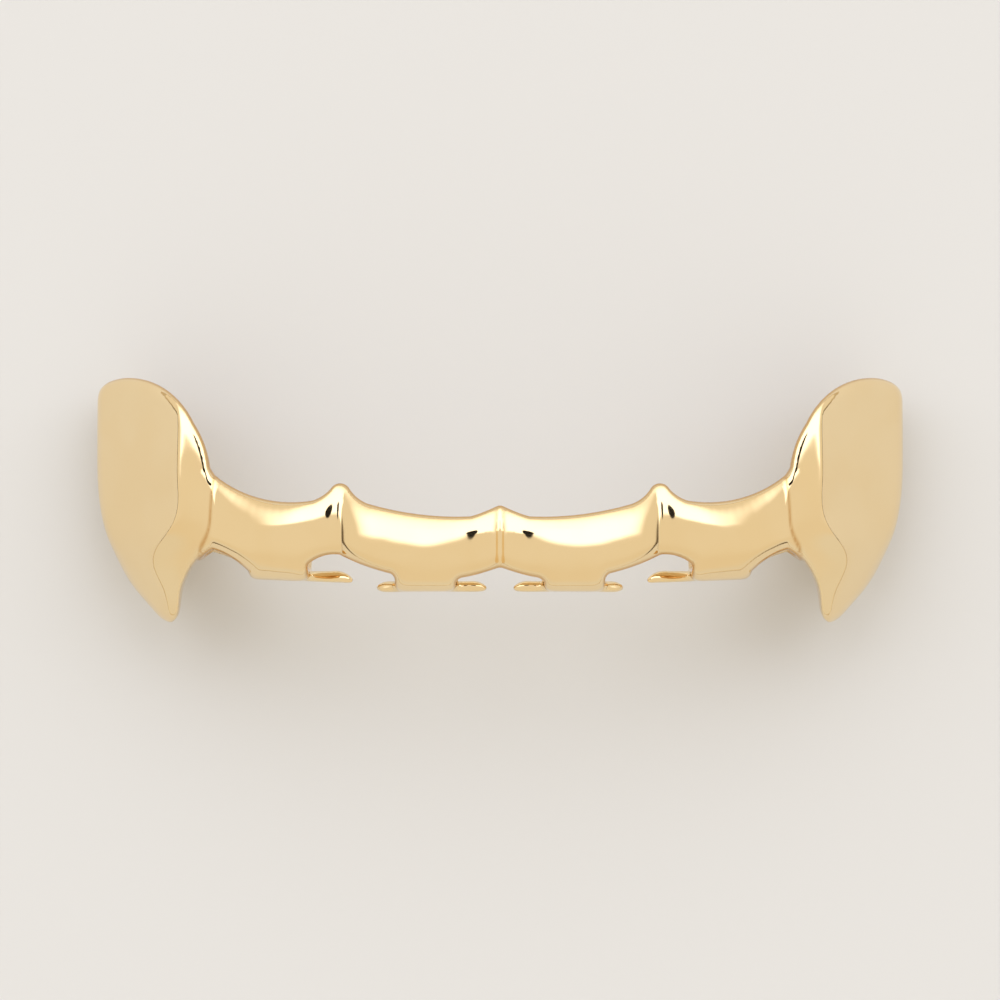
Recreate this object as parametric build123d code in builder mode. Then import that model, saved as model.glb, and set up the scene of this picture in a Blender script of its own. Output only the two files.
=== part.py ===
from build123d import *
import os
from math import atan, cos, dist, hypot, sin
from typing import NamedTuple

# Overall size, with X across the mouth, Y towards the gum and Z out of the lips
width = 47.4
height = 14.4
depth = 17.0
wall = 0.8

# Fang caps: width seen from the front, and how far the inner front corner stands proud of the bar
cap_width = 7.4
cap_step = 0.87
cap_bulge = 0.8
back_bulge = 0.35
cap_corner = 1.6
least_corner = 0.4
straight_level = 3.1
rim_drop = 2.6

# Bar of four convex lobes, a wide one and a narrow one to each side
groove_place = 8.85
lobe_bulge = 0.9
arch_drop = 6.9
edge_thickness = 2.9
edge_height = 1.0
back_lean = 2.4
front_lean = 1.9
edge_lean = 0.25

# Levels of the bar, as distances from mid-height
centre_top = -1.4
centre_fold = -5.4
side_top = -0.55
side_fold = -4.9
junction_top = 1.35
junction_low = -2.9
crest_level = -3.2
middle_peak = -0.8
side_peak = 0.5
peak_half = 1.6
peak_round = 0.3
middle_notch = -4.0
side_notch = -3.2

# Feet that fold under the biting edge, with a low lip behind that is wider than the foot
centre_foot_start = 2.45
centre_foot_end = 5.7
centre_foot_level = -4.9
side_foot_start = 10.5
side_foot_end = 13.9
side_foot_in_level = -3.85
side_foot_out_level = -4.15
foot_flare = 0.45
lip_height = 0.65
centre_lip_start = 0.65
centre_lip_end = 6.95
side_lip_start = 8.1
side_lip_end = 14.2

# Walls behind the teeth, and how far the plane that parts them from the front stays from a cap's side
tongue_top = -1.9
tongue_round = 1.0
back_rim = 1.9
divider_inset = 0.3
divider_share = 0.28

# Room that the trimming outlines leave round the metal
margin = 1.0

half_width = width / 2
rim_level = height / 2
tip_level = -height / 2
junction = half_width - cap_width
centre_middle = groove_place / 2
side_middle = (groove_place + junction) / 2
crown_place = junction + 0.74 * cap_width
fang_in = junction + 0.22 * cap_width
far = half_width + 2 * margin

# The foremost point of the wide lobes stands at the full depth
arch_curve = arch_drop / junction**2
lobe_curve = lobe_bulge / centre_middle**2
arch_front = depth - lobe_bulge * lobe_curve / (arch_curve + lobe_curve)


def arch_level(place):
    """Height of the grooves' base line over the plane of rest, at a distance from the middle."""
    return arch_front - arch_curve * place**2


def arch_angle(place):
    return atan(2 * arch_curve * place)


# Reach of the caps from their backs out to the inner front corner
cap_reach = arch_level(junction) + cap_step


class CapRow(NamedTuple):
    """One level section of a cap: corners as shares of cap_width across and cap_reach out."""

    front_in: tuple
    front_out: tuple
    back_out: tuple
    back_in: tuple
    corner: float
    bulge: float


# Evenly spaced from where the straight walls end, first, down to the fang's tip, last
cap_rows = [
    CapRow((0.00, 1.00), (1.05, 0.36), (0.50, -0.03), (-0.32, 0.45), 1.00, 1.00),
    CapRow((0.00, 1.00), (1.04, 0.36), (0.50, -0.02), (-0.32, 0.45), 1.00, 1.00),
    CapRow((0.00, 1.00), (0.97, 0.38), (0.52, -0.03), (-0.16, 0.42), 0.95, 0.95),
    CapRow((0.09, 0.95), (0.83, 0.42), (0.60, -0.05), (0.10, 0.38), 0.70, 0.70),
    CapRow((0.24, 0.80), (0.65, 0.505), (0.58, 0.22), (0.25, 0.43), 0.38, 0.40),
    CapRow((0.355, 0.63), (0.41, 0.60), (0.40, 0.57), (0.365, 0.59), 0.04, 0.10),
]
row_gap = (straight_level - tip_level) / (len(cap_rows) - 1)


class BarRow(NamedTuple):
    """One upright section of the bar, square to the arch: shares of lobe_bulge and edge_thickness."""

    place: float
    fold: float
    swell: float
    thickness: float


centre_rows = [
    BarRow(0.0, centre_fold, 0.0, 1.0),
    BarRow(centre_middle, centre_fold, 1.0, 1.0),
    BarRow(groove_place, side_fold, 0.0, 1.0),
]
side_rows = [
    BarRow(groove_place, side_fold, 0.0, 1.0),
    BarRow(side_middle, side_fold, 1.0, 1.0),
]
# The metal ends within the cap's wall, and the hollow runs on through it
metal_end = BarRow(junction + wall / 2, side_fold, -0.35, 1.0)
hollow_end = BarRow(junction + 2 * wall, side_fold, -1.1, 1.15)


def cap_corners(row):
    shares = (row.front_in, row.front_out, row.back_out, row.back_in)
    return [(junction + across * cap_width, out * cap_reach) for across, out in shares]


def inset_corners(corners, inset):
    """Corners of the polygon whose sides lie an inset inside those of a clockwise one."""
    lines = []
    for (ax, ay), (bx, by) in zip(corners, corners[1:] + corners[:1]):
        length = hypot(bx - ax, by - ay)
        nx, ny = (by - ay) / length, -(bx - ax) / length
        lines.append((nx, ny, nx * ax + ny * ay + inset))
    moved = []
    for (a, b, c), (d, e, f) in zip(lines[-1:] + lines[:-1], lines):
        scale = a * e - b * d
        moved.append(((c * e - b * f) / scale, (a * f - c * d) / scale))
    return moved


def cap_face(row, inset):
    corners = inset_corners(cap_corners(row), inset)
    bulges = (cap_bulge, back_bulge, back_bulge, 0)
    level = straight_level - cap_rows.index(row) * row_gap
    corner = max(cap_corner * row.corner - inset, least_corner * row.corner)
    with BuildSketch(Plane.XZ.offset(-level)) as face:
        with BuildLine():
            for start, end, bulge in zip(corners, corners[1:] + corners[:1], bulges):
                if bulge:
                    SagittaArc(start, end, bulge * row.bulge)
                else:
                    Line(start, end)
        make_face()
        fillet(face.vertices(), corner)
    return face.sketch


def bar_face(row, inset, rise):
    angle = arch_angle(row.place)
    square = Plane(
        origin=(row.place, 0, arch_level(row.place)),
        x_dir=(sin(angle), 0, cos(angle)),
        z_dir=(-cos(angle), 0, sin(angle)),
    )
    crest = lobe_bulge * row.swell - inset
    back = -edge_thickness * row.thickness + inset
    high = junction_top + margin + rise
    low = row.fold + edge_height
    with BuildSketch(square) as face:
        with BuildLine():
            ThreePointArc((crest - front_lean, high), (crest, crest_level), (crest - edge_lean, low))
            ThreePointArc((crest - edge_lean, low), ((crest + back) / 2, row.fold + inset), (back, low))
            Polyline((back, low), (back - back_lean, high), (crest - front_lean, high))
        make_face()
    return face.sketch


def cap_solid(rows, inset, rise):
    faces = [cap_face(row, inset) for row in rows]
    with BuildPart(mode=Mode.PRIVATE) as cap:
        loft(faces)
        extrude(faces[0], amount=straight_level - rim_level - margin - rise)
    return cap.part


def lobe_solid(rows, inset, rise):
    with BuildPart(mode=Mode.PRIVATE) as lobe:
        loft([bar_face(row, inset, rise) for row in rows])
    return lobe.part


def mid_point(place):
    """Middle of the bar's thickness over the biting edge, in the plan from the front."""
    angle = arch_angle(place)
    inward = edge_thickness / 2
    return place - inward * sin(angle), arch_level(place) - inward * cos(angle)


# The cast form without its hollow
with BuildPart() as outside:
    add(cap_solid(cap_rows, 0, 0))
    add(lobe_solid(centre_rows, 0, 0))
    add(lobe_solid(side_rows + [metal_end], 0, 0))
    mirror(about=Plane.YZ)

# The hollow that takes the teeth
with BuildPart() as inside:
    add(cap_solid(cap_rows[:-1], wall, margin))
    add(lobe_solid(centre_rows, wall, margin))
    add(lobe_solid(side_rows + [hollow_end], wall, margin))
    mirror(about=Plane.YZ)

# Plan of what lies in front of the teeth, and of what lies behind them
divider_end = (half_width - divider_inset, divider_share * cap_reach)
divider_far = (far, divider_end[1] - 1.5 * margin)


def zone(end_level):
    with BuildSketch(Plane.XZ.offset(-height)) as plan:
        with BuildLine():
            ThreePointArc(mid_point(0), mid_point(groove_place), mid_point(junction))
            Polyline(
                mid_point(junction), divider_end, divider_far, (far, end_level),
                (0, end_level), mid_point(0),
            )
        make_face()
        mirror(about=Plane.YZ)
    with BuildPart(mode=Mode.PRIVATE) as block:
        extrude(plan.sketch, amount=2 * height)
    return block.part


class Bend(NamedTuple):
    """Point of an outline seen from the front, and the bow of the edge after it, as its share."""

    place: float
    level: float
    bow: float = 0.0


def draw(bends):
    for this, following in zip(bends, bends[1:]):
        start = (this.place, this.level)
        end = (following.place, following.level)
        if this.bow:
            SagittaArc(start, end, this.bow * dist(start, end))
        else:
            Line(start, end)


def foot(start, start_level, end, end_level):
    """Way down one side of a foot, below its fold and up the other side."""
    return [Bend(start, start_level), Bend(start, -height), Bend(end, -height), Bend(end, end_level)]


# Along the bar's upper edge, from the middle to the cap
upper_edge = [
    Bend(0, middle_peak, -0.034),
    Bend(peak_half, centre_top, -0.042),
    Bend(groove_place - peak_half, side_top, -0.08),
    Bend(groove_place - peak_round * peak_half, side_peak - peak_round, 0.31),
    Bend(groove_place + peak_round * peak_half, side_peak - peak_round, -0.08),
    Bend(groove_place + peak_half, side_top, -0.1),
]
# Over the cap's rim and round outside it to the side foot
outer_edge = [
    Bend(crown_place, rim_level, 0.15),
    Bend(far, rim_level - rim_drop),
    Bend(far, -height),
    Bend(fang_in, -height),
    Bend(fang_in, centre_fold),
    Bend(junction, junction_low, -0.065),
]
# Along the bar's lower edge, between the feet
side_hollow = [
    Bend(side_foot_start, side_foot_in_level, -0.105),
    Bend(groove_place, side_notch, 0.031),
    Bend(centre_foot_end + foot_flare, centre_foot_level + 1.3 * foot_flare, -0.23),
]
middle_hollow = [
    Bend(centre_foot_start, centre_foot_level, -0.14),
    Bend(centre_foot_start - foot_flare, centre_foot_level + 0.7 * foot_flare, 0.029),
    Bend(0, middle_notch),
    Bend(0, middle_peak),
]

with BuildSketch() as front_outline:
    with BuildLine():
        draw(
            upper_edge + [Bend(junction, junction_top, 0.165)] + outer_edge
            + foot(side_foot_end, side_foot_out_level, side_foot_start, side_foot_in_level)[:3]
            + side_hollow
            + foot(centre_foot_end, centre_foot_level, centre_foot_start, centre_foot_level)[:3]
            + middle_hollow
        )
    make_face()
    mirror(about=Plane.YZ)


def lip(start, end, fold):
    with Locations(((start + end) / 2, fold)):
        Ellipse((end - start) / 2, lip_height)


# Walls behind the teeth: a lip and a tongue to each lobe, and the backs of the caps
with BuildSketch() as back_outline:
    lip(centre_lip_start, centre_lip_end, centre_fold)
    lip(side_lip_start, side_lip_end, side_fold)
    with Locations(((centre_foot_start + centre_foot_end) / 2, tongue_top - height / 2)):
        RectangleRounded(centre_foot_end - centre_foot_start, height, tongue_round)
    with BuildLine():
        tongue_side = tongue_top - tongue_round
        draw(
            [
                Bend(side_foot_start, tongue_side, 0.2),
                Bend(side_foot_start + tongue_round, tongue_top, -0.116),
                Bend(junction + tongue_round, back_rim, -0.0625),
            ]
            + outer_edge
            + foot(side_foot_end, side_foot_out_level, side_foot_start, tongue_side)
        )
    make_face()
    mirror(about=Plane.YZ)


def kept(outline, end_level):
    """Space in one zone within an outline seen from the front."""
    with BuildPart(mode=Mode.PRIVATE) as space:
        extrude(outline.sketch, amount=2 * depth, both=True)
        add(zone(end_level), mode=Mode.INTERSECT)
    return space.part


with BuildPart() as tooth_cover:
    add(outside.part)
    add(inside.part, mode=Mode.SUBTRACT)
    add(kept(front_outline, depth + margin) + kept(back_outline, -2 * margin), mode=Mode.INTERSECT)

# It lies on the backs of its caps
rest_level = tooth_cover.part.bounding_box().min.Z
tooth_cover.part.locate(Location((0, 0, -rest_level)))

os.makedirs("parts", exist_ok=True)
tooth_cover.part.label = "tooth_cover"
export_step(tooth_cover.part, "parts/tooth_cover.step")
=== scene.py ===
import math
from typing import NamedTuple

import bpy
import numpy as np
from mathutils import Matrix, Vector


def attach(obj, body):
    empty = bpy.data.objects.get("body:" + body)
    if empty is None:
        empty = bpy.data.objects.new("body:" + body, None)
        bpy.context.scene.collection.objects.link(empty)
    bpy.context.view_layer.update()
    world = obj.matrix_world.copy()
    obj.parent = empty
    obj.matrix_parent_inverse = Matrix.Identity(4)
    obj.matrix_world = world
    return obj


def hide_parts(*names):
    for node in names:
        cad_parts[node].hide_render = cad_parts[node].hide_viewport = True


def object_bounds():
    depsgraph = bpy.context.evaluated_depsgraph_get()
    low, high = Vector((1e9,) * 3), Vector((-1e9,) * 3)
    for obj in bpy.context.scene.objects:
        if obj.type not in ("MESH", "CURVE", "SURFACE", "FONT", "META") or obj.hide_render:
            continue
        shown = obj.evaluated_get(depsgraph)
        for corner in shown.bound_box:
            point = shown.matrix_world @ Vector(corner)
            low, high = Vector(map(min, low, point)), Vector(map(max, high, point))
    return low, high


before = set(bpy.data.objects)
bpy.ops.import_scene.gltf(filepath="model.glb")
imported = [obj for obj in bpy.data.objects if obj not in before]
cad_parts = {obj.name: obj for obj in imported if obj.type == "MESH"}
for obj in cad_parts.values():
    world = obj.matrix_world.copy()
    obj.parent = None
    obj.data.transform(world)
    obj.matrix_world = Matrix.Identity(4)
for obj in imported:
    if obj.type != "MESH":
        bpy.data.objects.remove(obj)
bpy.context.scene.view_settings.view_transform = "Standard"
CAD_LOW, CAD_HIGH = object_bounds()

# Sizes of the shape are in millimetres in the frame's axes, and MM turns them into metres
MM = 0.001
HALF_WIDTH = CAD_HIGH.x / MM
HALF_HEIGHT = CAD_HIGH.y / MM
DEPTH = CAD_HIGH.z / MM

# Walls, how far their cut is set out, the blends there, and the softening at the mirror plane
WALL = 0.8
OUTSET = 0.06
EDGE_ROUND = 0.28
HOLLOW_ROUND = 0.2
MIDDLE_SOFTENING = 0.01

# Fang caps, and how high the zero of their depth lies over the surface
CAP_WIDTH = 7.45
CAP_REACH = 10.4
JUNCTION = HALF_WIDTH - CAP_WIDTH
REST = 0.09
RIDGE_TOP = 4.6
RIDGE_SPAN = 2.0
RIDGE_FADE = 0.25
LEAST_ROUND = 0.05
LEAST_RIDGE = 0.03
TIP_INSET = 0.02
TIP_ROUND = 0.9

# Bar, along an arch whose front line joins the bottoms of the grooves
GROOVE = 8.85
GROOVE_ROUND = 0.2
ARCH_DROP = 6.9
ARCH_FRONT = DEPTH - 0.57
ARCH_END = JUNCTION + 4
ARCH_STEPS = 8
EDGE_THICKNESS = 2.9
BACK_LEAN = 0.36
BACK_EASE = 2.0
BACK_ROUND = 0.6
FOLD_LEAD = 2
FOLD_SPAN = 3
FOLD_ROUND = 0.75
FOLD_RISE = 0.05
FOLD_EASE = 1.0
BAR_PAST_JUNCTION = 1.6
BAR_END_ROUND = 0.3
LEAST_SWELL = -0.5

# Join of bar and cap
JOIN_LIFT = 0.1
JOIN_SPAN = 2.6
JOIN_DROP = 0.6
JOIN_BLEND = 0.25

# Line, seen along the height, that parts a cap's front walls from its back ones
PARTING_START = (JUNCTION - 0.94, ARCH_FRONT - ARCH_DROP - 1.1)
PARTING_END = (HALF_WIDTH - 0.3, 0.28 * CAP_REACH)
PARTING_SPAN = 0.7
PARTING_EASE = 1

# Levels and places of the outline seen from the front, from the middle outwards
MIDDLE_PEAK = -0.7
CENTRE_TOP = -1.38
CENTRE_END = -0.62
SIDE_TOP = -0.4
SIDE_PEAK = 0.58
PEAK_HALF = 1.6
PEAK_ROUND = 0.3
JUNCTION_LOW = -2.85
CENTRE_FOLD = -5.4
SIDE_FOLD = -4.85
MIDDLE_NOTCH = -4.0
SIDE_NOTCH = -3.27
CENTRE_FOOT = (2.45, 5.7)
SIDE_FOOT = (10.7, 14.1)
CENTRE_FOOT_LEVEL = -4.9
SIDE_FOOT_LEVELS = (-3.85, -4.15)
FOOT_FLARE = 0.45
CENTRE_LIP = (0.55, 7.1)
CENTRE_LIP_HEIGHT = 0.55
SIDE_LIP = (8.1, 14.7)
SIDE_LIP_HEIGHT = 0.62
LIP_RUN = 2.2
TONGUE_TOP = -1.9
TONGUE_ROUND = 1.0
BACK_RIM = 1.9
BACK_OFFSET = 0.5
RIM_DROP = 2.6
FANG_IN = JUNCTION + 0.248 * CAP_WIDTH
CROWN = JUNCTION + 0.765 * CAP_WIDTH
RIM_KNEE = (JUNCTION + 0.15 * CAP_WIDTH, 4.2)
RIM_FOOT = ((JUNCTION - 0.1, 1.25), (JUNCTION + 0.2, 1.7))

# Place and level well clear of the whole cover
FAR = HALF_WIDTH + 2.0
BELOW = -2 * HALF_HEIGHT

# Cells of the mesh, how far each pass evens them out, and the map of distances to the outlines
CELL = 0.155
EVENING = (0.0, 0.7, 0.7, 0.0)
LEAST_STEEPNESS = 0.2
MAP_STEP = 0.08
MAP_MARGIN = 1.2
MAP_END = FAR + 0.4

# Bands marked on the mesh for the material: along the cut edges and at the crease, where painted shade
# and reflection go, and in the hollow
EDGE_SHADE_BAND = 0.22
CREASE_FADE = 0.06
SATIN_DEPTH = 0.3


def smooth_max(a, b, blend):
    """The larger of two fields, with the crease between them rounded over a blend width."""
    share = np.maximum(blend - np.abs(a - b), 0.0) / blend
    return np.maximum(a, b) + share * share * blend / 4


def smooth_min(a, b, blend):
    return -smooth_max(-a, -b, blend)


def smooth_step(value):
    value = np.clip(value, 0.0, 1.0)
    return value * value * (3 - 2 * value)


class Spline:
    """Natural cubic curve through rows of values at rising knots."""

    def __init__(self, knots, rows):
        self.knots = np.array(knots, float)
        self.rows = np.array(rows, float)
        gaps = np.diff(self.knots)
        count = len(self.knots)
        system = np.eye(count)
        right = np.zeros((count, self.rows.shape[1]))
        for i in range(1, count - 1):
            system[i, i - 1:i + 2] = gaps[i - 1], 2 * (gaps[i - 1] + gaps[i]), gaps[i]
            rise = (self.rows[i + 1] - self.rows[i]) / gaps[i]
            right[i] = 6 * (rise - (self.rows[i] - self.rows[i - 1]) / gaps[i - 1])
        self.bends = np.linalg.solve(system, right)

    def __call__(self, place):
        place = np.clip(place, self.knots[0], self.knots[-1])
        low = np.clip(np.searchsorted(self.knots, place) - 1, 0, len(self.knots) - 2)
        gap = self.knots[low + 1] - self.knots[low]
        b = (place - self.knots[low]) / gap
        a = 1 - b
        values = []
        for column in range(self.rows.shape[1]):
            y, m = self.rows[:, column], self.bends[:, column]
            bend = ((a**3 - a) * m[low] + (b**3 - b) * m[low + 1]) * gap**2 / 6
            values.append(a * y[low] + b * y[low + 1] + bend)
        return values


# Outlines seen from the front

class Bend(NamedTuple):
    """Point of an outline, and the bow of the edge after it to its left, as its share."""

    place: float
    level: float
    bow: float = 0.0


def polyline(bends, steps=14):
    """Closed outline with its bowed edges as arcs."""
    points = []
    for this, following in zip(bends, bends[1:] + bends[:1]):
        start = np.array(this[:2])
        chord = np.array(following[:2]) - start
        if not this.bow:
            points.append(start)
            continue
        left = np.array((-chord[1], chord[0]))
        half_turn = 2 * math.atan(2 * this.bow)
        for i in range(steps):
            turn = half_turn * (2 * i / steps - 1)
            along = 0.5 + 0.5 * math.sin(turn) / math.sin(half_turn)
            out = (math.cos(turn) - math.cos(half_turn)) / (2 * math.sin(half_turn))
            points.append(start + along * chord + out * left)
    return np.array(points)


def distance_inside(x, y, points):
    """Signed distance to a closed outline, negative inside it."""
    nearest = np.full(x.shape, 1e9)
    inside = np.zeros(x.shape, bool)
    for (ax, ay), (bx, by) in zip(points, np.roll(points, -1, axis=0)):
        ex, ey = bx - ax, by - ay
        along = np.clip(((x - ax) * ex + (y - ay) * ey) / (ex * ex + ey * ey), 0, 1)
        nearest = np.minimum(nearest, (x - ax - along * ex)**2 + (y - ay - along * ey)**2)
        if ay != by:
            inside ^= ((ay > y) != (by > y)) & (x < ax + (y - ay) * ex / ey)
    return np.where(inside, -1, 1) * np.sqrt(nearest)


class DistanceMap:
    """Smooth map of the signed distance to several outlines together, read by a cubic B-spline."""

    low = np.array((-MAP_MARGIN, -HALF_HEIGHT - MAP_MARGIN))
    count = (
        int((MAP_END + MAP_MARGIN) / MAP_STEP) + 4,
        int((2 * HALF_HEIGHT + 2 * MAP_MARGIN) / MAP_STEP) + 4,
    )

    def __init__(self, outlines):
        x = self.low[0] + MAP_STEP * np.arange(self.count[0])[:, None]
        y = self.low[1] + MAP_STEP * np.arange(self.count[1])[None, :]
        x, y = np.broadcast_arrays(np.abs(x), y)
        self.values = np.min([distance_inside(x, y, points) for points in outlines], axis=0)

    def __call__(self, x, y):
        u, v = (x - self.low[0]) / MAP_STEP, (y - self.low[1]) / MAP_STEP
        i = np.clip(np.floor(u).astype(int), 1, self.count[0] - 3)
        j = np.clip(np.floor(v).astype(int), 1, self.count[1] - 3)
        total = 0.0
        for di, wi in zip(range(-1, 3), self.weights(u - i)):
            for dj, wj in zip(range(-1, 3), self.weights(v - j)):
                total = total + wi * wj * self.values[i + di, j + dj]
        return total

    @staticmethod
    def weights(t):
        s = 1 - t
        return s**3 / 6, (4 - 6 * t**2 + 3 * t**3) / 6, (4 - 6 * s**2 + 3 * s**3) / 6, t**3 / 6


def foot(outer, outer_level, inner):
    """Down the outer side of a foot and along below its fold."""
    return [Bend(outer, outer_level), Bend(outer, BELOW), Bend(inner, BELOW)]


def outer_edge(back=0.0):
    """Over the cap's top, round outside it and the fang, and back to where bar and cap join."""
    return [
        Bend(CROWN, HALF_HEIGHT, 0.155),
        Bend(FAR, HALF_HEIGHT - RIM_DROP),
        Bend(FAR, BELOW),
        Bend(FANG_IN + back, BELOW),
        Bend(FANG_IN + back, CENTRE_FOLD, -0.13),
        Bend(JUNCTION + back, JUNCTION_LOW, -0.065),
    ]


def front_outline():
    """Front of one half, run on past the middle so that no edge lies there."""
    past_middle = -GROOVE
    bends = [
        Bend(past_middle, MIDDLE_PEAK),
        Bend(0, MIDDLE_PEAK, -0.034),
        Bend(PEAK_HALF, CENTRE_TOP, -0.042),
        Bend(GROOVE - PEAK_HALF, CENTRE_END, -0.08),
        Bend(GROOVE - PEAK_ROUND * PEAK_HALF, SIDE_PEAK - PEAK_ROUND, 0.31),
        Bend(GROOVE + PEAK_ROUND * PEAK_HALF, SIDE_PEAK - PEAK_ROUND, -0.08),
        Bend(GROOVE + PEAK_HALF, SIDE_TOP, -0.1),
        Bend(*RIM_FOOT[0]),
        Bend(*RIM_FOOT[1], 0.06),
        Bend(*RIM_KNEE, 0.14),
    ]
    bends += outer_edge()
    bends += foot(SIDE_FOOT[1], SIDE_FOOT_LEVELS[1], SIDE_FOOT[0])
    bends += [
        Bend(SIDE_FOOT[0], SIDE_FOOT_LEVELS[0], -0.105),
        Bend(GROOVE, SIDE_NOTCH, 0.031),
        Bend(CENTRE_FOOT[1] + FOOT_FLARE, CENTRE_FOOT_LEVEL + 1.3 * FOOT_FLARE, -0.23),
    ]
    bends += foot(CENTRE_FOOT[1], CENTRE_FOOT_LEVEL, CENTRE_FOOT[0])
    bends += [
        Bend(CENTRE_FOOT[0], CENTRE_FOOT_LEVEL, -0.14),
        Bend(CENTRE_FOOT[0] - FOOT_FLARE, CENTRE_FOOT_LEVEL + 0.7 * FOOT_FLARE, 0.029),
        Bend(0, MIDDLE_NOTCH),
        Bend(past_middle, MIDDLE_NOTCH),
    ]
    return polyline(bends)


def lip(span, level, height):
    """Lens of the low edge that stands behind a foot and is wider than it."""
    start, end = span
    return polyline([
        Bend(start, level, 0.15),
        Bend(start + LIP_RUN * height, level + height),
        Bend(end - LIP_RUN * height, level + height, 0.15),
        Bend(end, level),
        Bend(end, BELOW),
        Bend(start, BELOW),
    ])


def back_outlines():
    """Wall that runs from the side foot round the cap, the tongue at the centre foot, and both lips."""
    side = TONGUE_TOP - TONGUE_ROUND
    start, end = SIDE_FOOT
    wall = [
        Bend(start, side, 0.2),
        Bend(start + TONGUE_ROUND, TONGUE_TOP, -0.116),
        Bend(JUNCTION + TONGUE_ROUND, BACK_RIM, -0.0625),
    ]
    wall += outer_edge(BACK_OFFSET)
    wall += foot(end, SIDE_FOOT_LEVELS[1], start)
    inner, outer = CENTRE_FOOT
    tongue = [
        Bend(inner, side, 0.2),
        Bend(inner + TONGUE_ROUND, TONGUE_TOP, 0.03),
        Bend(outer - TONGUE_ROUND, TONGUE_TOP, 0.2),
    ]
    tongue += foot(outer, side, inner)
    centre_lip = lip(CENTRE_LIP, CENTRE_FOLD, CENTRE_LIP_HEIGHT)
    side_lip = lip(SIDE_LIP, SIDE_FOLD, SIDE_LIP_HEIGHT)
    return [polyline(wall), polyline(tongue), centre_lip, side_lip]


FRONT = DistanceMap([front_outline()])
BACK = DistanceMap(back_outlines())


# The cast form, as a field in millimetres that is negative inside it

class CapRow(NamedTuple):
    """Level as a share of the half height, and corners as shares of the cap's width and reach."""

    level: float
    facet: tuple
    ridge: tuple
    side: tuple
    back: tuple
    inner: tuple
    rounding: float
    bulge: float

    def values(self):
        return [*self.facet, *self.ridge, *self.side, *self.back, *self.inner, self.rounding, self.bulge]


CAP_ROWS = [
    CapRow(-1.06, (0.37, 0.62), (0.385, 0.62), (0.40, 0.60), (0.395, 0.58), (0.375, 0.59), 0.15, 0.0),
    CapRow(-0.945, (0.31, 0.69), (0.37, 0.68), (0.475, 0.58), (0.455, 0.48), (0.315, 0.54), 0.3, 0.1),
    CapRow(-0.70, (0.245, 0.83), (0.43, 0.75), (0.70, 0.50), (0.59, 0.21), (0.275, 0.43), 0.5, 0.4),
    CapRow(-0.42, (0.06, 0.98), (0.47, 0.83), (0.89, 0.42), (0.61, -0.04), (0.14, 0.38), 0.75, 0.7),
    CapRow(-0.28, (0.0, 1.02), (0.345, 0.935), (0.965, 0.395), (0.565, -0.04), (-0.02, 0.40), 0.85, 0.85),
    CapRow(-0.14, (-0.02, 1.032), (0.26, 0.985), (1.02, 0.37), (0.52, -0.03), (-0.16, 0.42), 0.95, 0.95),
    CapRow(0.14, (-0.02, 1.038), (0.243, 0.996), (1.07, 0.345), (0.50, -0.02), (-0.31, 0.45), 1.0, 1.0),
    CapRow(0.43, (-0.02, 1.034), (0.243, 0.993), (1.08, 0.34), (0.50, -0.02), (-0.32, 0.45), 1.0, 1.0),
    CapRow(1.04, (-0.02, 1.008), (0.243, 0.967), (1.08, 0.335), (0.50, -0.02), (-0.32, 0.45), 1.0, 1.0),
]
CAP_CURVES = Spline([row.level * HALF_HEIGHT for row in CAP_ROWS], [row.values() for row in CAP_ROWS])


class CapRound(NamedTuple):
    """Blend widths of the cap's corners where its section is full."""

    facet: float
    ridge: float
    side: float
    back: float
    inner: float


CAP_ROUND = CapRound(0.45, 0.13, 1.7, 1.8, 1.4)
# Bow of each side of the section, from the facet round to the inner side
CAP_BOWS = (0.02, 0.12, 0.35, 0.35, 0.0)


def cap_field(x, y, z):
    """Distance to a fang cap's outer face, from five bowed sides in each level section."""
    *shares, rounding, bulge = CAP_CURVES(y)
    corners = [
        (JUNCTION + across * CAP_WIDTH, REST + reach * CAP_REACH)
        for across, reach in zip(shares[::2], shares[1::2])
    ]
    sides = []
    for i, bow in enumerate(CAP_BOWS):
        (ax, az), (bx, bz) = corners[i], corners[(i + 1) % 5]
        length = np.hypot(bx - ax, bz - az) + 1e-6
        ex, ez = (bx - ax) / length, (bz - az) / length
        along = ((x - ax) * ex + (z - az) * ez) / length
        out = (z - az) * ex - (x - ax) * ez
        sides.append(out - 4 * bow * bulge * along * (1 - along))
    facet, plate, outer, back, inner = sides
    towards_bar = smooth_max(facet, inner, CAP_ROUND.facet * rounding + LEAST_ROUND)
    away = smooth_max(plate, outer, CAP_ROUND.side * rounding + LEAST_ROUND)
    away = smooth_max(away, back, CAP_ROUND.back * rounding + LEAST_ROUND)
    depth = smooth_step((corners[1][1] - z) / (corners[1][1] - corners[4][1] + 0.5))
    ridge = CAP_ROUND.ridge + RIDGE_FADE * smooth_step((y - RIDGE_TOP) / RIDGE_SPAN)
    blend = ridge + (CAP_ROUND.inner - ridge) * depth
    field = smooth_max(towards_bar, away, blend * rounding + LEAST_RIDGE)
    tip = TIP_INSET - HALF_HEIGHT - y
    return smooth_max(field, tip, TIP_ROUND)


def arch_coordinates(x, z):
    """Place along the arch, and distance in front of its line, found step by step."""
    curve = ARCH_DROP / JUNCTION**2
    place = np.clip(x, 0, JUNCTION + 2) + 0 * z
    for _ in range(ARCH_STEPS):
        gap = curve * place**2 + z - ARCH_FRONT
        slope = 1 + 6 * curve**2 * place**2 + 2 * curve * (z - ARCH_FRONT)
        place = place - (place - x + 2 * curve * place * gap) / np.maximum(slope, 0.15)
        place = np.clip(place, -1, ARCH_END)
    tilt = np.hypot(1, 2 * curve * place)
    return place, ((z - ARCH_FRONT + curve * place**2) + 2 * curve * place * (x - place)) / tilt


class Lean(NamedTuple):
    """How far the bar's front stands back at a height above its crest, or above its fold."""

    height: float
    back: float


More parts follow.
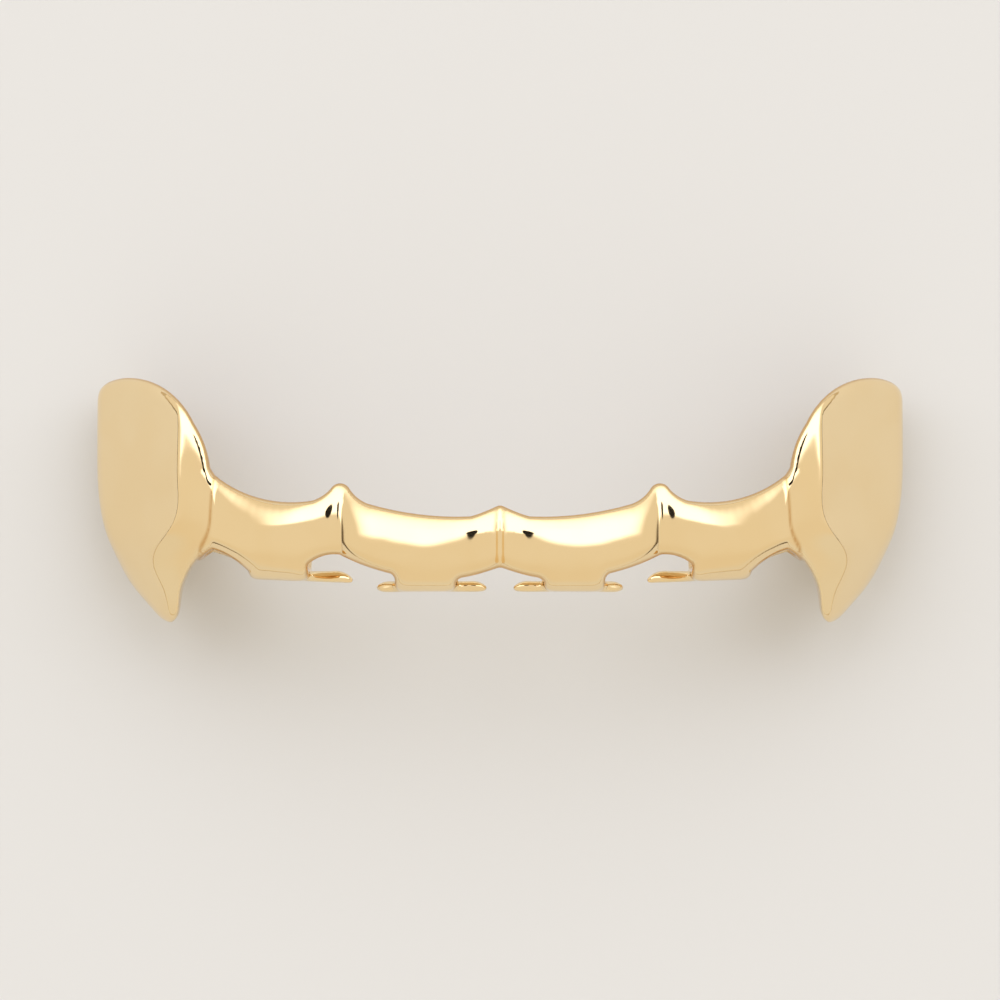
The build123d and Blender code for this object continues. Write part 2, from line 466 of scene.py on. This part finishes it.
def lean_curve(*leans):
    return Spline([row.height for row in leans], [[row.back] for row in leans])


TOP_LEAN = lean_curve(
    Lean(-2, 0), Lean(-1, 0), Lean(0, 0), Lean(1, 0.09), Lean(2.2, 0.36), Lean(3.4, 0.78), Lean(6, 2.1)
)
LOW_LEAN = lean_curve(
    Lean(-1, 1.0), Lean(0, 0.42), Lean(1, 0.08), Lean(2, 0), Lean(3, 0), Lean(4, 0)
)


class Lobe(NamedTuple):
    """A pillow of the bar between two places, steeper at its ends the higher their powers are."""

    start: float
    end: float
    bulge: float
    start_power: float
    end_power: float


LOBES = [Lobe(0.0, GROOVE, 0.76, 7.0, 2.3), Lobe(GROOVE, ARCH_END, 0.85, 6.5, 2.3)]

# Level of the lobes' crest along the arch, a smile in each lobe
CREST_PLACES = (0.0, 1.6, 4.4, 7.3, GROOVE, 9.8, 11.8, 14.0, JUNCTION, 19.0)
CREST_LEVELS = (-1.9, -2.65, -3.2, -2.15, -1.5, -1.25, -1.45, -0.9, 0.1, 0.8)
CREST = Spline(CREST_PLACES, [[level] for level in CREST_LEVELS])


def lobe_swell(place):
    """Pillow shape of the lobes along the arch, 0 in the grooves, lifted to meet the cap."""
    swells = []
    for lobe in LOBES:
        share = (2 * place - lobe.start - lobe.end) / (lobe.end - lobe.start)
        power = np.where(share < 0, lobe.start_power, lobe.end_power)
        swells.append(lobe.bulge * (1 - np.abs(share)**power))
    swell = smooth_max(swells[0], np.where(place > GROOVE / 2, swells[1], -1.0), GROOVE_ROUND)
    lift = JOIN_LIFT * np.clip(1 + (place - JUNCTION) / JOIN_SPAN, 0, 1)**2
    drop = JOIN_DROP * np.maximum(place - JUNCTION, 0)**2
    return np.maximum(swell, LEAST_SWELL) + lift - drop


def fold_level(place):
    """Level of the bar's low edge, higher from the groove outwards."""
    fold = CENTRE_FOLD + (SIDE_FOLD - CENTRE_FOLD) * smooth_step((place - GROOVE + FOLD_LEAD) / FOLD_SPAN)
    return fold + FOLD_RISE * smooth_max(place - GROOVE - FOLD_EASE, 0 * place, FOLD_EASE)


def bar_field(x, y, z):
    """Distance to the outer face of the trough that the four lobes make, and the arch's offset."""
    place, out = arch_coordinates(x, z)
    crest = CREST(place)[0]
    fold = fold_level(place)
    front = out - lobe_swell(place) + TOP_LEAN(y - crest)[0] + LOW_LEAN(y - fold)[0]
    rise = smooth_max(y - SIDE_FOLD, 0 * y, BACK_EASE)
    back = -(out + EDGE_THICKNESS + BACK_LEAN * rise) / np.hypot(1, BACK_LEAN)
    body = smooth_max(smooth_max(front, back, BACK_ROUND), fold - y, FOLD_ROUND)
    return smooth_max(body, place - JUNCTION - BAR_PAST_JUNCTION, BAR_END_ROUND), out


def parting(x, z, out):
    """Positive among the front walls and negative among the back ones."""
    middle = out + EDGE_THICKNESS / 2
    start = np.array(PARTING_START)
    end = np.array(PARTING_END)
    ex, ez = (end - start) / np.linalg.norm(end - start)
    line = (z - start[1]) * ex - (x - start[0]) * ez
    share = smooth_step((x - start[0] + PARTING_EASE) / (2 * PARTING_EASE))
    return middle * (1 - share) + line * share


class Roll(NamedTuple):
    """How far a rim's roll reaches in from the cut, and how deep it goes."""

    reach: float
    depth: float


ROLL = Roll(0.8, 0.16)
# What the bar's upper rim adds to the roll, from which level, and how it fades towards the cap
UPPER_ROLL = Roll(0.7, 0.06)
UPPER_LEVEL = -2.6
UPPER_SPAN = 0.8
UPPER_FADE = 3


def rim_roll(x, y, cut):
    """How far the outer face sinks towards its cut rims."""
    fade = smooth_step((JUNCTION - x) / UPPER_FADE + 0.1)
    upper = smooth_step((y - UPPER_LEVEL) / UPPER_SPAN) * fade
    reach = ROLL.reach + UPPER_ROLL.reach * upper
    depth = ROLL.depth + UPPER_ROLL.depth * upper
    return depth * np.clip(1 + cut / reach, 0, 1)**3


def cover_parts(x, y, z):
    """Distance to the solid form with its rims rolled and without, to the cut, and to the marked edges
    where shade and reflection are painted.
    """
    x = np.sqrt(x * x + MIDDLE_SOFTENING)
    bar, out = bar_field(x, y, z)
    cap = cap_field(x, y, z)
    form = smooth_min(cap, bar, JOIN_BLEND)
    front_cut, back_cut = FRONT(x, y), BACK(x, y)
    behind = smooth_step(0.5 - parting(x, z, out) / PARTING_SPAN)
    cut = front_cut * (1 - behind) + back_cut * behind
    # Near zero along the front cut edges and the crease between cap and bar, where the material paints a
    # darker shade and reflection
    edge_shade_distance = np.minimum(np.abs(front_cut - OUTSET), np.abs(cap - bar) + CREASE_FADE) + 2 * behind
    return form + rim_roll(x, y, cut), form, cut - OUTSET, edge_shade_distance


def cover_field(x, y, z):
    """The whole cover, as a shell cut by the outlines."""
    rolled, form, cut, _ = cover_parts(x, y, z)
    shell = smooth_max(rolled, -(form + WALL), HOLLOW_ROUND)
    return smooth_max(shell, cut, EDGE_ROUND)


# Mesh of the field

def surface_cells(field, low):
    """Dual mesh of a sampled field: a vertex in each cell that the surface crosses, and quads."""
    shape = np.array(field.shape)
    spans = shape - 1
    inside = field < 0
    owners, places, quads = [], [], []
    for axis in range(3):
        step = np.eye(3, dtype=int)[axis]
        ends = tuple(slice(s, n) for s, n in zip(step, shape))
        starts = tuple(slice(0, n - s) for s, n in zip(step, shape))
        edges = np.argwhere(inside[starts] != inside[ends])
        a = field[tuple(edges.T)]
        b = field[tuple((edges + step).T)]
        place = edges + (a / (a - b))[:, None] * step
        second, third = np.eye(3, dtype=int)[(axis + 1) % 3], np.eye(3, dtype=int)[(axis + 2) % 3]
        ring = [edges - second - third, edges - third, edges, edges - second]
        cells = [(c[:, 0] * spans[1] + c[:, 1]) * spans[2] + c[:, 2] for c in ring]
        for cell in cells:
            owners.append(cell)
            places.append(place)
        ordered = np.stack(cells, axis=1)
        quads.append(np.where((a < 0)[:, None], ordered, ordered[:, ::-1]))
    owners, places = np.concatenate(owners), np.concatenate(places)
    used, index = np.unique(owners, return_inverse=True)
    count = np.bincount(index)
    points = np.stack([np.bincount(index, places[:, i]) / count for i in range(3)], axis=1)
    return low + CELL * points, np.searchsorted(used, np.concatenate(quads))


def gradient(points, step=0.015):
    """Slope of the cover's field at points."""
    slopes = []
    for axis in range(3):
        shift = step * np.eye(3)[axis]
        ahead, behind = (points + shift).T, (points - shift).T
        slopes.append((cover_field(*ahead) - cover_field(*behind)) / (2 * step))
    return np.stack(slopes, axis=1)


def ring_centres(points, quads):
    """Mean, for each vertex, of the middles of the quads round it."""
    middles = points[quads].mean(axis=1)
    count = np.bincount(quads.ravel(), minlength=len(points))
    sums = [np.bincount(quads.ravel(), np.repeat(middles[:, i], 4), len(points)) for i in range(3)]
    return np.stack(sums, axis=1) / count[:, None]


def settle(points, quads, even):
    """Vertices moved onto the surface, and along it towards even cells."""
    slope = gradient(points)
    steep = np.maximum((slope**2).sum(axis=1), LEAST_STEEPNESS)[:, None]
    move = -slope * cover_field(*points.T)[:, None] / steep
    drift = even * (ring_centres(points, quads) - points)
    move = move + drift - slope * (drift * slope).sum(axis=1)[:, None] / steep
    return points + np.clip(move, -0.5 * CELL, 0.5 * CELL)


def cover_points():
    """Vertices on the surface of the cover, quads between them and their normals."""
    margin = 3 * CELL
    half = int((HALF_WIDTH + margin) / CELL)
    x = CELL * np.arange(0, half + 1)
    low_y, low_z = -HALF_HEIGHT - margin, -margin
    y = np.arange(low_y, HALF_HEIGHT + margin, CELL)
    z = np.arange(low_z, DEPTH + margin, CELL)
    right = cover_field(x[:, None, None], y[None, :, None], z[None, None, :])
    field = np.concatenate([right[:0:-1], right])
    points, quads = surface_cells(field, np.array((-CELL * half, low_y, low_z)))
    for even in EVENING:
        points = settle(points, quads, even)
    slope = gradient(points)
    return points, quads, slope / np.linalg.norm(slope, axis=1)[:, None]


def cover_mesh():
    points, quads, normals = cover_points()
    mesh = bpy.data.meshes.new("grill_cover")
    mesh.from_pydata((points * MM).tolist(), [], quads.tolist())
    mesh.shade_smooth()
    mesh.normals_split_custom_set_from_vertices(normals.tolist())
    _, form, _, edge_shade_distance = cover_parts(*points.T)
    # The first mark carries painted shade and reflection along the front edges and the crease; the second
    # marks the satin hollow
    marks = {
        "painted_edge_shade": 1 - smooth_step(edge_shade_distance / EDGE_SHADE_BAND),
        "inside": smooth_step(1 - (form + WALL) / SATIN_DEPTH),
    }
    for name, values in marks.items():
        mesh.attributes.new(name, "FLOAT", "POINT").data.foreach_set("value", values)
    return mesh


# Materials

GOLD = (0.905, 0.72, 0.435, 1)
GOLD_DRIFT = (0.895, 0.70, 0.41, 1)
GOLD_INSIDE = (0.78, 0.55, 0.27, 1)
# Darker orange painted along the front edges and the crease, as their shade and warm reflection
GOLD_EDGE_SHADE_PAINT = (0.62, 0.36, 0.13, 1)
PALE_FLOOR = (0.67, 0.67, 0.668, 1)


class Nodes:
    """Shader nodes of one tree, put together as sums and ramps."""

    def __init__(self, tree):
        self.tree = tree

    def add(self, kind, **settings):
        node = self.tree.nodes.new("ShaderNode" + kind)
        for name, value in settings.items():
            setattr(node, name, value)
        return node

    def feed(self, node, inputs):
        for key, value in inputs.items():
            if isinstance(value, bpy.types.NodeSocket):
                self.tree.links.new(value, node.inputs[key])
            else:
                node.inputs[key].default_value = value
        return node

    def math(self, operation, *values):
        node = self.add("Math", operation=operation)
        return self.feed(node, dict(enumerate(values))).outputs[0]

    def ramp(self, value, start, end, low=0.0, high=1.0):
        """Smooth step of a value from low to high."""
        node = self.add("MapRange", interpolation_type="SMOOTHSTEP")
        inputs = {"Value": value, "From Min": start, "From Max": end, "To Min": low, "To Max": high}
        return self.feed(node, inputs).outputs["Result"]

    def mix(self, share, a, b):
        """Colour between two others."""
        node = self.add("Mix", data_type="RGBA")
        return self.feed(node, {0: share, 6: a, 7: b}).outputs[2]

    def noise(self, place, scale, detail):
        node = self.add("TexNoise")
        return self.feed(node, {"Vector": place, "Scale": scale, "Detail": detail}).outputs["Fac"]

    def mark(self, name):
        """Value that the mesh carries at its vertices."""
        return self.add("Attribute", attribute_name=name).outputs["Fac"]


def gold_material():
    """Polished pale gold plate, with a darker orange painted along its front cut edges and the crease as
    their shade and warm reflection, and left satin inside.
    """
    material = bpy.data.materials.new("gold_plate")
    material.use_nodes = True
    shader = material.node_tree.nodes["Principled BSDF"]
    nodes = Nodes(material.node_tree)
    place = nodes.add("TexCoord").outputs["Object"]
    painted_edge_shade, inside = nodes.mark("painted_edge_shade"), nodes.mark("inside")
    drift = nodes.noise(place, 260.0, 2.0)
    grain = nodes.noise(place, 5200.0, 3.0)
    colour = nodes.mix(nodes.ramp(drift, 0.35, 0.65), GOLD, GOLD_DRIFT)
    colour = nodes.mix(nodes.ramp(inside, 0.2, 0.8, 0.0, 0.5), colour, GOLD_INSIDE)
    # Painted shade and reflection: darker orange along the front edges and the crease
    colour = nodes.mix(nodes.ramp(painted_edge_shade, 0.1, 0.9, 0.0, 0.85), colour, GOLD_EDGE_SHADE_PAINT)
    polish = nodes.ramp(drift, 0.35, 0.7, 0.045, 0.085)
    satin = nodes.math("MULTIPLY", nodes.ramp(grain, 0.3, 0.7, 0.25, 0.42), nodes.ramp(inside, 0.3, 0.9))
    waves = nodes.feed(nodes.add("Bump"), {"Height": drift, "Strength": 1.0, "Distance": 0.00003})
    bump = nodes.feed(nodes.add("Bump"), {
        "Height": grain,
        "Strength": nodes.ramp(inside, 0.3, 0.9, 0.0, 0.35),
        "Distance": 0.00004,
        "Normal": waves.outputs["Normal"],
    })
    nodes.feed(shader, {
        "Base Color": colour,
        "Metallic": 1.0,
        "Roughness": nodes.math("MAXIMUM", polish, satin),
        "Normal": bump.outputs["Normal"],
    })
    return material


def floor_material():
    material = bpy.data.materials.new("pale_floor")
    material.use_nodes = True
    shader = material.node_tree.nodes["Principled BSDF"]
    shader.inputs["Base Color"].default_value = PALE_FLOOR
    shader.inputs["Roughness"].default_value = 0.6
    return material


# Studio, with directions as slopes: across to either side and ahead towards +Y, for one up

CEILING_BEHIND = (0.84, 0.80, 0.73, 1)
CEILING_ABOVE = (0.86, 0.775, 0.64, 1)
CEILING_AHEAD = (0.89, 0.82, 0.705, 1)
SOFTBOX_HIGH = (2.1, 2.1, 2.16, 1)
SOFTBOX_LOW = (1.38, 1.34, 1.26, 1)
SPOT = (0.02, 0.02, 0.02, 1)
SPOT_AHEAD = 0.3
BAND = (0.60, 0.50, 0.37, 1)
BAND_ASIDE = (0.10, 0.07, 0.04, 1)
BACKDROP = (0.78, 0.77, 0.75, 1)


def ceiling(nodes, ahead):
    colour = nodes.mix(nodes.ramp(ahead, -2.5, -0.8), CEILING_BEHIND, CEILING_ABOVE)
    return nodes.mix(nodes.ramp(ahead, -0.45, 0.05), colour, CEILING_AHEAD)


def add_softbox(nodes, colour, across, ahead, z):
    share = nodes.math("MULTIPLY", nodes.ramp(ahead, 0.14, 0.24), nodes.ramp(across, 3.6, 1.4))
    share = nodes.math("MULTIPLY", share, nodes.ramp(z, 0.08, 0.3))
    glow = nodes.mix(nodes.ramp(ahead, 0.5, 2.6), SOFTBOX_HIGH, SOFTBOX_LOW)
    return nodes.mix(share, colour, glow)


def add_spot(nodes, colour, across, ahead):
    """Dark oval at the softbox's near edge."""
    offset = nodes.math("MULTIPLY", nodes.math("SUBTRACT", ahead, SPOT_AHEAD), 0.9)
    offset = nodes.math("POWER", nodes.math("ABSOLUTE", offset), 2.0)
    spread = nodes.math("ADD", nodes.math("POWER", across, 2.0), offset)
    return nodes.mix(nodes.ramp(spread, 0.031, 0.022), colour, SPOT)


def add_band(nodes, colour, y, z):
    """Dim band round the floor, darkest to either side."""
    aside = nodes.ramp(nodes.math("ABSOLUTE", y), 0.35, 0.2)
    return nodes.mix(nodes.ramp(z, 0.055, 0.025), colour, nodes.mix(aside, BAND, BAND_ASIDE))


def make_world():
    """Studio round the piece, and a plain backdrop where the camera sees past the floor."""
    world = bpy.data.worlds.new("studio")
    bpy.context.scene.world = world
    world.use_nodes = True
    nodes = Nodes(world.node_tree)
    place = nodes.add("TexCoord").outputs["Generated"]
    x, y, z = nodes.feed(nodes.add("SeparateXYZ"), {0: place}).outputs
    height = nodes.math("MAXIMUM", z, 0.02)
    across = nodes.math("ABSOLUTE", nodes.math("DIVIDE", x, height))
    ahead = nodes.math("DIVIDE", y, height)
    colour = add_softbox(nodes, ceiling(nodes, ahead), across, ahead, z)
    colour = add_spot(nodes, colour, across, ahead)
    colour = add_band(nodes, colour, y, z)
    seen = nodes.add("LightPath").outputs["Is Camera Ray"]
    colour = nodes.mix(seen, colour, BACKDROP)
    nodes.feed(world.node_tree.nodes["Background"], {"Color": colour, "Strength": 1.0})


def make_floor():
    """Plain floor, 8 metres square."""
    size = 4.0
    corners = [(-size, -size, 0), (size, -size, 0), (size, size, 0), (-size, size, 0)]
    mesh = bpy.data.meshes.new("floor")
    mesh.from_pydata(corners, [], [(0, 1, 2, 3)])
    floor = bpy.data.objects.new("floor", mesh)
    bpy.context.scene.collection.objects.link(floor)
    mesh.materials.append(floor_material())


def make_camera():
    """The photograph's eye point, 152 mm in front of the bar and a little below it, framed closer."""
    eye = Vector((0, -8.2, 169.0)) * MM
    target = Vector((0, 0, 8.0)) * MM
    camera = bpy.data.cameras.new("camera")
    camera.sensor_width = 36
    camera.lens = 101
    camera.clip_start = 0.005
    holder = bpy.data.objects.new("camera", camera)
    holder.location = eye
    holder.rotation_euler = (target - eye).to_track_quat("-Z", "Y").to_euler()
    bpy.context.scene.collection.objects.link(holder)
    bpy.context.scene.camera = holder


cover = bpy.data.objects.new("grill_cover", cover_mesh())
bpy.context.scene.collection.objects.link(cover)
cover.data.materials.append(gold_material())
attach(cover, "root")
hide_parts("tooth_cover")

make_floor()
make_world()
make_camera()
